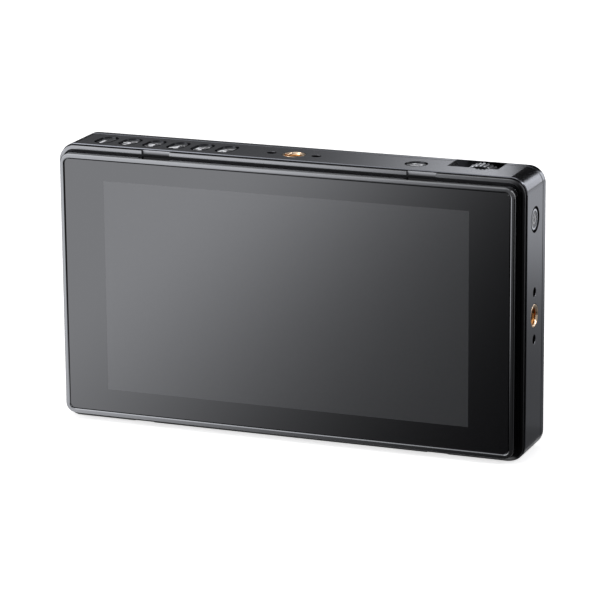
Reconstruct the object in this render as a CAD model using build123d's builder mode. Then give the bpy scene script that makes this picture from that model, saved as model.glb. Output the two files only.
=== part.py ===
from build123d import *
import math
import os

# Camera field monitor of the 5.5-inch class: an aluminium casing in three shells, a touch screen behind
# glass, six shortcut keys, a return key and a thumb wheel on top, a power key at the side, and a plate for
# a slide-on battery at the back.
# Millimetres, +Z up. The screen faces -Y and +X is on the viewer's right. The origin is the mouth of the
# mounting thread in the middle of the bottom face.

os.makedirs("parts", exist_ok=True)

# ---------------------------------------------------------------- driving dimensions: casing

housing_width = 156.0
housing_height = 90.0
corner_radius = 5.4
wall = 2.4
mid_depth = 15.6  # middle housing, front face to rear face
cover_thickness = 3.4
parting_gap = 0.3  # shadow gap between the front frame and the middle housing
edge_break = 0.25  # bevel on the long edges of the casing
cover_edge_round = 0.9

# front frame: a flat rim, then the groove that a sun hood clips into, then the bead round the glass
frame_inset = 0.4  # the frame's edge lies this far inside the middle housing's faces
rim_width = 1.25
rim_round = 0.2
rim_thickness = 1.25
groove_width = 0.55
groove_depth = 0.65
bead_width = 1.5
bead_rise = 0.15  # the bead stands this far in front of the glass
bead_round = 0.45
glass_setout = 3.8  # the glass surface stands this far in front of the rim
frame_lip_depth = 1.9
lip_thickness = 1.2
lip_clearance = 0.15

# clip notches that the hood's hooks drop into
top_notch_inset = 33.7  # from the side faces to the middle of each notch
top_notch_width = 9.5
top_notch_radius = 2.65
scoop_setback = 0.2
scoop_tilt = 12  # degrees
bottom_notch_inset = 28.2
bottom_notch_width = 7.4
bottom_notch_depth = 0.45

# ---------------------------------------------------------------- driving dimensions: screen stack

glass_thickness = 1.1
glass_clearance = 0.1
glass_edge = 0.15
tape_thickness = 0.2
tape_margin = 0.6  # from the window's edge to the tape
window_side = 14.5  # width of the frame beside the window
window_border = 7.95  # width of the frame above and below the window
window_radius = 1.0
window_clearance = 0.6
touch_thickness = 0.7
cell_thickness = 1.4
backlight_thickness = 2.8
tray_sheet = 0.5
tray_ear_length = 5.0
tray_ear_width = 7.0
tray_ear_rows = 40.0

# ---------------------------------------------------------------- driving dimensions: threads and screws

insert_radius = 3.8
insert_length = 7.0
insert_bore_radius = 2.6  # minor radius of a 1/4"-20 thread
insert_fit = 0.02
insert_flange_chamfer = 0.4
pin_hole_radius = 1.6
pin_hole_depth = 4.0
pin_hole_spacing = 15.0
boss_length = 23.0
top_thread_shift = 1.0  # the top thread sits this far to the left of the middle
boss_gap = 0.2  # between a boss or bracket and the front frame's lip
boss_floor = 1.3  # metal left behind the insert
screw_radius = 1.0
screw_head_radius = 1.9
screw_head_height = 1.1
screw_fit = 0.02
screw_clearance = 0.2
case_screw_inset = 6.8  # from the outside faces to each corner screw
case_post_radius = 2.9
frame_boss_radius = 2.4

# ---------------------------------------------------------------- driving dimensions: keys

key_count = 6
key_tilt = 5  # degrees that each key leans to the right at its rear end
key_web = 3.25  # metal left between two keys
key_post_gap = 0.45  # from the corner post to the first key
key_boss_gap = 8.65  # from the last key to the top thread's boss
key_end_margin = 3.2  # from the ends of the keys to the middle housing's front and rear faces
key_sink = 0.35  # key tops lie this far under the casing's surface
key_gap = 0.18
key_travel = 0.4
key_flange_inset = 0.9  # the flange is narrower than the cap by this much on each side
key_flange_overhang = 0.55
key_flange_thickness = 0.8
key_flange_gap = 0.05
key_stem_radius = 1.2
key_top_round = 0.3
switch_slack = 0.05  # a key's stem stays this clear of its switch when fully pressed
return_key_inset = 38.5  # from the right face
return_key_radius = 3.4
power_key_clearance = 0.6  # between the power key's flange and the corner post
power_key_radius = 3.75
round_key_flange = 0.45
switch_size = 4.4
switch_height = 2.6
plunger_radius = 0.9
plunger_height = 0.7

# ---------------------------------------------------------------- driving dimensions: thumb wheel

wheel_board_gap = 0.9  # between the wheel and the power key's board
wheel_y = 3.2
wheel_radius = 8.0
wheel_width = 4.6
wheel_rise = 0.75  # the wheel stands this far above the top face
wheel_flutes = 38
flute_radius = 0.42
wheel_gap = 0.3
wheel_bevel = 0.35
shaft_radius = 1.2
shaft_clearance = 0.05
pocket_width = 16.4
pocket_shift = 2.4
pocket_depth = 2.6
pocket_floor = 1.2
pocket_lip = 1.0  # metal of the rear cover left behind the scoop
encoder_thickness = 2.7
encoder_gap = 0.3
bracket_sheet = 0.6

# ---------------------------------------------------------------- driving dimensions: circuit boards

board_thickness = 1.2
board_side_gap = 0.4
board_post_gap = 0.2
board_lower_gap = 2.85
board_upper_gap = 1.55  # under the key board
standoff_radius = 2.3
standoff_inset_x = 9.5  # from the window's edges
standoff_inset_z = 12.8
key_board_thickness = 1.0
key_board_width = 9.0
key_board_corner = 1.0
key_board_gap = 0.9  # between the top thread's boss and the key board
key_board_end = 6.2  # from the return key to the end of its board
key_post_radius = 2.1
key_post_left = 4.1  # from the top thread's boss
key_post_right = 13.5
power_board_inset = 0.9
power_board_margin = 0.1
power_rib = 0.9
power_rib_gap = 0.15
power_board_set_in = 0.5  # from the corner post's inner side to the board
processor_size = 19.0
processor_height = 1.0
pad_thickness = 0.4
sink_width = 44.0
sink_height = 30.0
sink_base = 0.7
sink_clearance = 0.5  # between the fins and the rear cover
sink_fin_count = 9
sink_fin_width = 1.6
sink_inset = 27.8  # from the board's right edge
sink_z = -8.0
processor_shift = 6.0
memory_width = 11.0
memory_height = 8.0
memory_thickness = 1.0
memory_gap = 2.5
inductor_size = 5.0
inductor_height = 2.2
inductor_gap = 3.0
inductor_count = 3
inductor_x = -40.0
inductor_z = -31.0
board_clearance = 0.8

# ---------------------------------------------------------------- driving dimensions: sockets, left side

hdmi_width = 14.0
hdmi_height = 4.55
hdmi_depth = 11.5
hdmi_tongue = 1.3
usb_width = 8.34
usb_height = 2.56
usb_depth = 7.4
usb_tongue = 0.7
shell_thickness = 0.35
socket_gap = 0.15
socket_sink = 0.3
core_gap = 0.03
tongue_sink = 1.0
hdmi_bevel = 1.6
hdmi_core_depth = 3.0
hdmi_tongue_width = 11.4
usb_core_depth = 2.0
usb_tongue_width = 6.7
power_jack_floor = 2.0
jack_bore_radius = 1.8
jack_depth = 12.0
jack_floor = 1.0
power_jack_radius = 3.9
power_jack_bore_radius = 2.9
power_jack_pin_radius = 1.0
power_jack_depth = 11.0

# ---------------------------------------------------------------- driving dimensions: back

plate_width = 40.0
plate_end = 12.0  # the plate reaches this far past the rails' ends
plate_base = 2.5
plate_sink = 0.6
plate_radius = 2.5
plate_gap = 0.15
rail_overhang = 2.0
rail_width = 34.0
rail_neck_height = 1.5
rail_flange_height = 1.2
rail_length = 46.0
rail_gate_length = 11.0
rail_centre_z = 0.5
stop_gap = 0.5  # between the stop and the heads of the plate's screws
stop_height = 8.0
stop_cover = 1.0  # plastic over the contacts
contact_width = 0.8
contact_depth = 2.2
contact_length = 4.6
contact_root = 2.2
contact_gap = 0.5  # between the blades and the block that the battery slides over
contact_pitch = 6.2
contact_count = 3
plate_screw_inset_x = 2.4
plate_screw_inset_z = 3.5
head_sink = 0.3  # screw heads lie this far under the surface
latch_width = 12.0
latch_height = 7.0
latch_rail_gap = 1.6
latch_gap = 0.2
latch_rise = 1.6
latch_travel = 1.6
latch_roof = 0.9
latch_flange = 1.0
latch_flange_thickness = 0.8
latch_end_gap = 0.3
latch_bore_radius = 2.6
latch_bore_roof = 1.0
latch_round = 0.6
spring_radius = 2.1
spring_wire_radius = 0.18
spring_turns = 3
cover_bar_length = 88.0
cover_bar_shift = 8.0
cover_side_bar_length = 50.0
cover_bar_depth = 1.5
vent_count = 7
vent_pitch = 4.2
vent_length = 15.0
vent_width = 1.8
vent_inset = 34.0  # from the side faces
vent_row_gap = 4.0

# ---------------------------------------------------------------- driving dimensions: cables and small screws

flex_thickness = 0.2
flex_width = 24.0
flex_x = -20.0
flex_slot_z = -26.0
flex_slot_height = 2.4
flex_clearance = 0.8
flex_rise = 7.0
key_flex_width = 8.0
key_flex_x = -5.0
key_flex_y = -1.5
key_flex_reach = 6.0
lead_radius = 0.5
lead_sides = 6  # thin round wires are drawn with six sides
lead_drop = 2.5
wire_slot_height = 4.0
tray_screw_bite = 1.2
key_screw_bite = 3.5
board_screw_bite = 5.0
drive_radius = 0.9
drive_depth = 0.6

# ---------------------------------------------------------------- places worked out from the sizes

middle = housing_height / 2
half_width = housing_width / 2
half_height = housing_height / 2
mid_front = -mid_depth / 2
mid_rear = mid_depth / 2
frame_back = mid_front - parting_gap
rim_front = frame_back - rim_thickness
glass_front = rim_front - glass_setout
bead_front = glass_front - bead_rise
cover_rear = mid_rear + cover_thickness
lip_end = frame_back + frame_lip_depth
rim_margin = frame_inset + rim_width + groove_width
frame_width = housing_width - 2 * frame_inset
frame_height = housing_height - 2 * frame_inset
frame_radius = corner_radius - frame_inset
bezel_width = housing_width - 2 * rim_margin
bezel_height = housing_height - 2 * rim_margin
bezel_radius = corner_radius - rim_margin
glass_width = bezel_width - 2 * (bead_width + glass_clearance)
glass_height = bezel_height - 2 * (bead_width + glass_clearance)
glass_back = glass_front + glass_thickness
pocket_floor_y = glass_back + tape_thickness
cavity_width = housing_width - 2 * wall
cavity_height = housing_height - 2 * wall
cavity_radius = corner_radius - wall
screw_x = half_width - case_screw_inset
screw_z = half_height - case_screw_inset
post_x = screw_x - case_post_radius
post_z = screw_z - case_post_radius
window_width = housing_width - 2 * window_side
window_height = housing_height - 2 * window_border
boss_width = -2 * (lip_end + boss_gap)
glass_corner_radius = bezel_radius - bead_width - glass_clearance

key_row_left = key_post_gap - post_x
key_row_right = -top_thread_shift - boss_length / 2 - key_boss_gap
key_width = (key_row_right - key_row_left - (key_count - 1) * key_web) / key_count
key_length = mid_depth - 2 * key_end_margin
key_places = [key_row_left + key_width / 2 + i * (key_width + key_web) for i in range(key_count)]
return_key_x = half_width - return_key_inset
switch_gap = key_travel + switch_slack
key_board_drop = insert_length + boss_floor + key_board_gap
key_post_places = (-top_thread_shift - boss_length / 2 - key_post_left,
                   -top_thread_shift + boss_length / 2 + key_post_right)

power_flange_radius = power_key_radius + round_key_flange
power_key_z = post_z - power_key_clearance - power_flange_radius
power_board_width = boss_width - 2 * power_board_inset
power_board_height = 2 * (power_flange_radius + power_board_margin)
power_board_x = post_x + power_board_set_in
wheel_x = power_board_x - wheel_board_gap - wheel_radius
wheel_z = housing_height + wheel_rise - wheel_radius
wheel_front = wheel_y - wheel_width / 2
wheel_back = wheel_y + wheel_width / 2
pocket_x = wheel_x - pocket_shift
pocket_front_y = wheel_front - wheel_gap
pad_depth = pocket_depth + pocket_floor
encoder_size = 2 * (housing_height - pad_depth - wheel_z - encoder_gap)

board_front = (hdmi_height + 2 * shell_thickness) / 2
board_back = board_front + board_thickness
board_left = half_width - wall - board_side_gap
board_right = post_x - board_post_gap
board_top = half_height - key_board_drop - key_board_thickness - board_upper_gap
board_bottom = half_height - wall - board_lower_gap
standoff_x = window_width / 2 - standoff_inset_x
standoff_z = window_height / 2 - standoff_inset_z
sink_x = board_right - sink_inset
processor_x = sink_x + processor_shift

# the sockets share out the left wall between the two corner posts with equal gaps
jack_radius = board_front
socket_lengths = (hdmi_width + 2 * shell_thickness, hdmi_width + 2 * shell_thickness,
                  usb_width + 2 * shell_thickness, 2 * jack_radius, 2 * power_jack_radius)
socket_web = (2 * post_z - sum(socket_lengths)) / (len(socket_lengths) + 1)
socket_places = [post_z - (i + 1) * socket_web - sum(socket_lengths[:i]) - socket_lengths[i] / 2
                 for i in range(len(socket_lengths))]
hdmi_heights = socket_places[:2]
usb_z, jack_z, power_jack_z = socket_places[2:]


def front_view(y):
    """Plane seen from the front at depth y: +X right, +Z up from mid height, normal towards the viewer."""
    return Plane(origin=(0, y, middle), x_dir=(1, 0, 0), z_dir=(0, -1, 0))


def right_view(x):
    """Plane seen from the right at x: +Y right, +Z up from mid height, normal along +X."""
    return Plane(origin=(x, 0, middle), x_dir=(0, 1, 0), z_dir=(1, 0, 0))


def left_view(x, z=0):
    """Plane seen from the left at x: -Y right, +Z up from z above mid height, normal along -X."""
    return Plane(origin=(x, 0, middle + z), x_dir=(0, -1, 0), z_dir=(-1, 0, 0))


def bottom_view(z):
    """Plane seen from below at height z: +X right, normal down."""
    return Plane(origin=(0, 0, z), x_dir=(1, 0, 0), z_dir=(0, 0, -1))


def rounded_slab(width, height, radius, back, front, mode=Mode.ADD):
    """A rounded rectangle in the middle of the front view, filled from depth back forward to front."""
    with BuildSketch(front_view(back)) as outline:
        RectangleRounded(width, height, radius)
    extrude(outline.sketch, amount=back - front, mode=mode)


def front_block(x, z, width, height, back, front, mode=Mode.ADD):
    """A rectangular block centred at x, z in the front view, between two depths."""
    with BuildSketch(front_view(back)) as outline:
        with Locations((x, z)):
            Rectangle(width, height)
    extrude(outline.sketch, amount=back - front, mode=mode)


def front_discs(places, radius, back, front, mode=Mode.ADD):
    """Equal round posts or holes along Y at places in the front view, between two depths."""
    with BuildSketch(front_view(back)) as outline:
        with Locations(*places):
            Circle(radius)
    extrude(outline.sketch, amount=back - front, mode=mode)


def finish(piece, name):
    """Label a piece and write its STEP file."""
    piece.part.label = name
    export_step(piece.part, f"parts/{name}.step")


corner_places = [(sx * screw_x, sz * screw_z) for sx in (-1, 1) for sz in (-1, 1)]
standoff_places = [(sx * standoff_x, sz * standoff_z) for sx in (-1, 1) for sz in (-1, 1)]
module_width = window_width - 2 * window_clearance
module_height = window_height - 2 * window_clearance
ear_places = [(side * (module_width / 2 + tray_ear_length / 2), row * tray_ear_rows / 2)
              for side in (-1, 1) for row in (-1, 1)]

# ---------------------------------------------------------------- front frame

with BuildPart() as front_frame:
    rounded_slab(frame_width, frame_height, frame_radius, frame_back, rim_front)
    rounded_slab(frame_width - 2 * rim_width, frame_height - 2 * rim_width, frame_radius - rim_width,
                 rim_front + groove_depth, rim_front, Mode.SUBTRACT)
    rim_face = front_frame.faces().filter_by(Axis.Y).sort_by(Axis.Y)[0]
    fillet(rim_face.outer_wire().edges(), rim_round)
    rim_face = front_frame.faces().filter_by(Axis.Y).sort_by(Axis.Y)[0]
    chamfer(rim_face.inner_wires()[0].edges(), edge_break / 2)
    rounded_slab(bezel_width, bezel_height, bezel_radius, frame_back, bead_front)
    # pocket that the glass drops into, then the round over the bead
    rounded_slab(bezel_width - 2 * bead_width, bezel_height - 2 * bead_width, bezel_radius - bead_width,
                 pocket_floor_y, bead_front, Mode.SUBTRACT)
    fillet(front_frame.faces().filter_by(Axis.Y).sort_by(Axis.Y)[0].edges(), bead_round)
    # opening for the display module
    rounded_slab(window_width, window_height, window_radius, frame_back, bead_front, Mode.SUBTRACT)
    # lip that locates the frame inside the middle housing
    lip_width = cavity_width - 2 * lip_clearance
    lip_height = cavity_height - 2 * lip_clearance
    lip_radius = cavity_radius - lip_clearance
    with BuildSketch(front_view(lip_end)):
        RectangleRounded(lip_width, lip_height, lip_radius)
        RectangleRounded(lip_width - 2 * lip_thickness, lip_height - 2 * lip_thickness,
                         lip_radius - lip_thickness, mode=Mode.SUBTRACT)
    extrude(amount=lip_end - frame_back)
    # bosses for the four long case screws
    front_discs(corner_places, frame_boss_radius, lip_end, frame_back)
    front_discs(corner_places, screw_radius + screw_fit, lip_end, frame_back, Mode.SUBTRACT)
    # pilot holes for the screws of the display tray
    front_discs(ear_places, screw_radius + screw_fit, frame_back, frame_back - tray_screw_bite, Mode.SUBTRACT)
    # two scooped notches in the top of the rim and two shallow ones in the bottom
    scoop_y = frame_back - scoop_setback - top_notch_radius * math.cos(math.radians(scoop_tilt))
    scoop_z = housing_height - frame_inset + top_notch_radius * math.sin(math.radians(scoop_tilt))
    for side in (-1, 1):
        with Locations(Location((side * (half_width - top_notch_inset), scoop_y, scoop_z), (0, 90, 0))):
            Cylinder(top_notch_radius, top_notch_width, mode=Mode.SUBTRACT)
        with BuildSketch(front_view(frame_back)):
            with Locations((side * (half_width - bottom_notch_inset), -frame_height / 2)):
                Trapezoid(bottom_notch_width, 2 * bottom_notch_depth, 60)
        extrude(amount=rim_thickness, mode=Mode.SUBTRACT)
finish(front_frame, "front_frame")

# ---------------------------------------------------------------- glass and display stack

with BuildPart() as cover_glass:
    rounded_slab(glass_width, glass_height, glass_corner_radius, glass_back, glass_front)
    chamfer(cover_glass.faces().filter_by(Axis.Y).sort_by(Axis.Y)[0].edges(), glass_edge)
finish(cover_glass, "cover_glass")

with BuildPart() as glass_adhesive:
    rounded_slab(glass_width, glass_height, glass_corner_radius, pocket_floor_y, glass_back)
    rounded_slab(window_width + 2 * tape_margin, window_height + 2 * tape_margin, window_radius,
                 pocket_floor_y, glass_back, Mode.SUBTRACT)
finish(glass_adhesive, "glass_adhesive")

touch_back = glass_back + touch_thickness
cell_back = touch_back + cell_thickness
backlight_back = cell_back + backlight_thickness
tray_back = backlight_back + tray_sheet

with BuildPart() as touch_panel:
    rounded_slab(module_width, module_height, window_radius, touch_back, glass_back)
finish(touch_panel, "touch_panel")

panel_width = module_width - 2 * tray_sheet
panel_height = module_height - 2 * tray_sheet

with BuildPart() as lcd_cell:
    rounded_slab(panel_width, panel_height, window_radius / 2, cell_back, touch_back)
finish(lcd_cell, "lcd_cell")

with BuildPart() as backlight_unit:
    rounded_slab(panel_width, panel_height, window_radius / 2, backlight_back, cell_back)
finish(backlight_unit, "backlight_unit")

with BuildPart() as panel_tray:
    # folded sheet: floor behind the backlight, walls round the stack, ears on the frame, stand-offs behind
    rounded_slab(module_width, module_height, window_radius, tray_back, touch_back)
    rounded_slab(panel_width, panel_height, window_radius / 2, backlight_back, touch_back, Mode.SUBTRACT)
    for ear_x, ear_z in ear_places:
        front_block(ear_x, ear_z, tray_ear_length, tray_ear_width, frame_back + tray_sheet, frame_back)
    front_discs(ear_places, screw_radius + screw_clearance, frame_back + tray_sheet, frame_back,
                Mode.SUBTRACT)
    front_discs(standoff_places, standoff_radius, board_front, tray_back)
    front_discs(standoff_places, screw_radius + screw_fit, board_front, tray_back, Mode.SUBTRACT)
    # slot that the display's flexible cable comes through
    front_block(flex_x, flex_slot_z, flex_width + 2 * flex_clearance, flex_slot_height, tray_back,
                backlight_back, Mode.SUBTRACT)
finish(panel_tray, "panel_tray")

# ---------------------------------------------------------------- middle housing


def boss_with_thread(plane):
    """Boss inside a wall with the seat for a threaded insert and two holes for anti-twist pins."""
    with BuildSketch(plane.offset(-wall)) as pad:
        Rectangle(boss_length, boss_width)
    extrude(pad.sketch, amount=-(insert_length + boss_floor - wall))


def thread_seat(plane):
    """Bores in a boss: the insert's seat and the pair of anti-twist pin holes."""
    with BuildSketch(plane) as seat:
        Circle(insert_radius + insert_fit)
    extrude(seat.sketch, amount=-insert_length, mode=Mode.SUBTRACT)
    with BuildSketch(plane) as pins:
        with Locations((-pin_hole_spacing / 2, 0), (pin_hole_spacing / 2, 0)):
            Circle(pin_hole_radius)
    extrude(pins.sketch, amount=-pin_hole_depth, mode=Mode.SUBTRACT)


def oval(length, width):
    """Key outline: a slot with round ends that runs front to back with a lean."""
    SlotOverall(length, width, rotation=90 - key_tilt)


def thumb_scoop(back, front):
    """Recess with sloping ends in the top edge that lets a thumb reach the wheel, cut between two depths."""
    with BuildSketch(front_view(back)) as profile:
        with BuildLine():
            Polyline((pocket_x - pocket_width / 2, half_height), (pocket_x + pocket_width / 2, half_height),
                     (pocket_x + pocket_width / 2 - pocket_depth, half_height - pocket_depth),
                     (pocket_x - pocket_width / 2 + pocket_depth, half_height - pocket_depth), close=True)
        make_face()
    extrude(profile.sketch, amount=back - front, mode=Mode.SUBTRACT)


wheel_spot = (wheel_x, wheel_z - middle)
top_plane = Plane.XY.offset(housing_height)
top_thread_plane = Plane(origin=(-top_thread_shift, 0, housing_height))
bottom_plane = bottom_view(0)
side_plane = Plane(origin=(half_width, 0, middle), x_dir=(0, 0, 1), z_dir=(1, 0, 0))
key_hole_length = key_length + 2 * key_gap
key_hole_width = key_width + 2 * key_gap
socket_wall_gap = shell_thickness + socket_gap

with BuildPart() as mid_housing:
    rounded_slab(housing_width, housing_height, corner_radius, mid_rear, mid_front)
    chamfer(mid_housing.faces().filter_by(Axis.Y).edges(), edge_break)
    rounded_slab(cavity_width, cavity_height, cavity_radius, mid_rear, mid_front, Mode.SUBTRACT)
    # posts in the corners for the long case screws, joined to both walls
    for sx in (-1, 1):
        for sz in (-1, 1):
            reach = case_screw_inset - wall / 2
            front_block(sx * (screw_x + reach / 2), sz * screw_z, reach, 2 * case_post_radius, mid_rear,
                        lip_end)
            front_block(sx * screw_x, sz * (screw_z + reach / 2), 2 * case_post_radius, reach, mid_rear,
                        lip_end)
    front_discs(corner_places, case_post_radius, mid_rear, lip_end)
    front_discs(corner_places, screw_radius + screw_clearance, mid_rear, lip_end, Mode.SUBTRACT)
    # trim the posts back inside the outer shape
    rounded_slab(housing_width, housing_height, corner_radius, mid_rear, mid_front, Mode.INTERSECT)
    # bosses for the three threaded inserts
    for plane in (top_thread_plane, bottom_plane, side_plane):
        boss_with_thread(plane)
        thread_seat(plane)
    # hanging posts for the key board
    with BuildSketch(Plane.XY.offset(housing_height - key_board_drop)):
        with Locations(*[(x, 0) for x in key_post_places]):
            Circle(key_post_radius)
    extrude(amount=key_board_drop - wall)
    with BuildSketch(Plane.XY.offset(housing_height - key_board_drop)):
        with Locations(*[(x, 0) for x in key_post_places]):
            Circle(screw_radius + screw_fit)
    extrude(amount=key_board_drop - 2 * wall, mode=Mode.SUBTRACT)
    # openings for the shortcut keys, the return key and the power key
    with BuildSketch(top_plane):
        with Locations(*[(x, 0) for x in key_places]):
            oval(key_hole_length, key_hole_width)
        with Locations((return_key_x, 0)):
            Circle(return_key_radius + key_gap)
    extrude(amount=-wall, mode=Mode.SUBTRACT)
    with BuildSketch(right_view(half_width)):
        with Locations((0, power_key_z)):
            Circle(power_key_radius + key_gap)
    extrude(amount=-wall, mode=Mode.SUBTRACT)
    # rib that holds the lower edge of the power key's board
    rib_z = power_key_z - power_board_height / 2 - power_rib_gap - power_rib / 2
    with BuildSketch(right_view(half_width - wall)):
        with Locations((0, rib_z)):
            Rectangle(power_board_width, power_rib)
    extrude(amount=-(case_screw_inset + case_post_radius - wall))
    # thumb scoop behind the wheel, with sloping ends, in a thickened stretch of the top wall
    with BuildSketch(front_view(mid_rear)):
        with Locations((pocket_x, half_height - (pad_depth + wall) / 2)):
            Rectangle(pocket_width + 2 * pocket_floor, pad_depth - wall)
    extrude(amount=mid_rear - pocket_front_y + pocket_floor)
    thumb_scoop(mid_rear, pocket_front_y)
    # well that the wheel turns in
    front_discs([wheel_spot], wheel_radius + wheel_gap, wheel_back + wheel_gap, wheel_front - wheel_gap,
                Mode.SUBTRACT)
    # openings for the sockets in the left wall
    with BuildSketch(left_view(-half_width)):
        with Locations(*[(0, z) for z in hdmi_heights]):
            Rectangle(hdmi_height + 2 * socket_wall_gap, hdmi_width + 2 * socket_wall_gap)
        with Locations((0, usb_z)):
            SlotOverall(usb_width + 2 * socket_wall_gap, usb_height + 2 * socket_wall_gap, rotation=90)
        with Locations((0, jack_z)):
            Circle(jack_radius + socket_gap)
        with Locations((0, power_jack_z)):
            Circle(power_jack_radius + socket_gap)
    extrude(amount=-wall, mode=Mode.SUBTRACT)
finish(mid_housing, "mid_housing")

# ---------------------------------------------------------------- threaded inserts


def threaded_insert(plane, name):
    """Brass insert with a 1/4\"-20 bore, flush with the face that it is pressed into."""
    with BuildPart() as insert:
        with BuildSketch(plane):
            Circle(insert_radius)
            Circle(insert_bore_radius, mode=Mode.SUBTRACT)
        extrude(amount=-insert_length)
        mouth = insert.edges().filter_by(GeomType.CIRCLE).filter_by(
            lambda edge: abs((edge.arc_center - plane.origin).length) < 0.01)
        chamfer(mouth, insert_flange_chamfer)
    finish(insert, name)


threaded_insert(top_thread_plane, "top_thread_insert")
threaded_insert(bottom_plane, "bottom_thread_insert")
threaded_insert(side_plane, "side_thread_insert")

# ---------------------------------------------------------------- keys

key_foot = housing_height - wall - key_flange_gap
key_board_top = housing_height - key_board_drop
switch_top = key_board_top + switch_height
plunger_top = switch_top + plunger_height


def top_key(x, outline, flange, name):
    """Key in the top wall: cap, flange that keeps it in, and a stem that ends above its switch."""
    with BuildPart() as key:
        with BuildSketch(Plane.XY.offset(key_foot)):
            with Locations((x, 0)):
                outline()
        extrude(amount=wall + key_flange_gap - key_sink)
        fillet(key.faces().sort_by(Axis.Z)[-1].edges(), key_top_round)
        with BuildSketch(Plane.XY.offset(key_foot)):
            with Locations((x, 0)):
                flange()
        extrude(amount=-key_flange_thickness)
        with BuildSketch(Plane.XY.offset(plunger_top + switch_gap)):
            with Locations((x, 0)):
                Circle(key_stem_radius)
        extrude(amount=key_foot - key_flange_thickness - plunger_top - switch_gap)
    finish(key, name)


for number, place in enumerate(key_places, start=1):
    top_key(place, lambda: oval(key_length, key_width),
            lambda: Rectangle(key_width - 2 * key_flange_inset, key_length + 2 * key_flange_overhang,
                              rotation=-key_tilt),
            f"function_key_{number}")
top_key(return_key_x, lambda: Circle(return_key_radius), lambda: Circle(return_key_radius + round_key_flange),
        "return_key")

power_switch_x = power_board_x + key_board_thickness
power_plunger_x = power_switch_x + switch_height / 2 + plunger_height
power_foot = half_width - wall - key_flange_gap

with BuildPart() as power_key:
    with BuildSketch(right_view(power_foot)):
        with Locations((0, power_key_z)):
            Circle(power_key_radius)
    extrude(amount=wall + key_flange_gap - key_sink)
    fillet(power_key.faces().sort_by(Axis.X)[-1].edges(), key_top_round)
    with BuildSketch(right_view(power_foot)):
        with Locations((0, power_key_z)):
            Circle(power_key_radius + round_key_flange)
    extrude(amount=-key_flange_thickness)
    with BuildSketch(right_view(power_plunger_x + switch_gap)):
        with Locations((0, power_key_z)):
            Circle(key_stem_radius)
    extrude(amount=power_foot - key_flange_thickness - power_plunger_x - switch_gap)
finish(power_key, "power_key")

switch_places = [(x, 0) for x in key_places] + [(return_key_x, 0)]
key_board_left = key_row_left
key_board_right = return_key_x + key_board_end

with BuildPart() as key_board:
    with BuildSketch(Plane.XY.offset(key_board_top)):
        with Locations(((key_board_left + key_board_right) / 2, 0)):
            RectangleRounded(key_board_right - key_board_left, key_board_width, key_board_corner)
        with Locations(*[(x, 0) for x in key_post_places]):
            Circle(screw_radius + screw_clearance, mode=Mode.SUBTRACT)
    extrude(amount=-key_board_thickness)
finish(key_board, "key_board")

with BuildPart() as key_switches:
    with BuildSketch(Plane.XY.offset(key_board_top)):
        with Locations(*switch_places):
            Rectangle(switch_size, switch_size)
    extrude(amount=switch_height)
    with BuildSketch(Plane.XY.offset(switch_top)):
        with Locations(*switch_places):
            Circle(plunger_radius)
    extrude(amount=plunger_height)
finish(key_switches, "key_switches")

with BuildPart() as power_board:
    with BuildSketch(right_view(power_board_x)):
        with Locations((0, power_key_z)):
            Rectangle(power_board_width, power_board_height)
    extrude(amount=key_board_thickness)
finish(power_board, "power_board")

with BuildPart() as power_switch:
    with BuildSketch(right_view(power_switch_x)):
        with Locations((0, power_key_z)):
            Rectangle(switch_size, switch_size)
    extrude(amount=switch_height / 2)
    with BuildSketch(right_view(power_switch_x + switch_height / 2)):
        with Locations((0, power_key_z)):
            Circle(plunger_radius)
    extrude(amount=plunger_height)
finish(power_switch, "power_switch")

# ---------------------------------------------------------------- thumb wheel

encoder_back = wheel_front - wheel_gap
encoder_front = encoder_back - encoder_thickness
front_cheek = encoder_front - bracket_sheet
rear_cheek = wheel_back + wheel_gap

with BuildPart() as thumb_wheel:
    front_discs([wheel_spot], wheel_radius, wheel_back, wheel_front)
    chamfer(thumb_wheel.faces().filter_by(Axis.Y).edges(), wheel_bevel)
    front_discs([wheel_spot], shaft_radius + insert_fit, wheel_back, wheel_front, Mode.SUBTRACT)
    # flutes round the rim for the thumb's grip
    with BuildSketch(front_view(wheel_back)):
        with Locations(wheel_spot):
            with PolarLocations(wheel_radius, wheel_flutes):
                Circle(flute_radius)
    extrude(amount=wheel_width, mode=Mode.SUBTRACT)
finish(thumb_wheel, "thumb_wheel")

with BuildPart() as wheel_shaft:
    front_discs([wheel_spot], shaft_radius, rear_cheek + bracket_sheet, front_cheek)
finish(wheel_shaft, "wheel_shaft")

with BuildPart() as wheel_encoder:
    front_block(*wheel_spot, encoder_size, encoder_size, encoder_back, encoder_front)
    front_discs([wheel_spot], shaft_radius + shaft_clearance, encoder_back, encoder_front, Mode.SUBTRACT)
finish(wheel_encoder, "wheel_encoder")

bracket_top = half_height - wall
bracket_floor = wheel_spot[1] - wheel_radius - wheel_gap - bracket_sheet
rear_cheek_top = half_height - pad_depth

with BuildPart() as wheel_bracket:
    # folded steel strap: front cheek up to the wall, floor under the wheel, rear cheek up to the scoop's pad
    front_block(wheel_x, (bracket_top + bracket_floor) / 2, encoder_size, bracket_top - bracket_floor,
                encoder_front, front_cheek)
    front_block(wheel_x, bracket_floor + bracket_sheet / 2, encoder_size, bracket_sheet,
                rear_cheek + bracket_sheet, front_cheek)
    front_block(wheel_x, (rear_cheek_top + bracket_floor) / 2, encoder_size, rear_cheek_top - bracket_floor,
                rear_cheek + bracket_sheet, rear_cheek)
    front_discs([wheel_spot], shaft_radius + shaft_clearance, rear_cheek + bracket_sheet, front_cheek,
                Mode.SUBTRACT)
finish(wheel_bracket, "wheel_bracket")

# ---------------------------------------------------------------- main board and cooling

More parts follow.
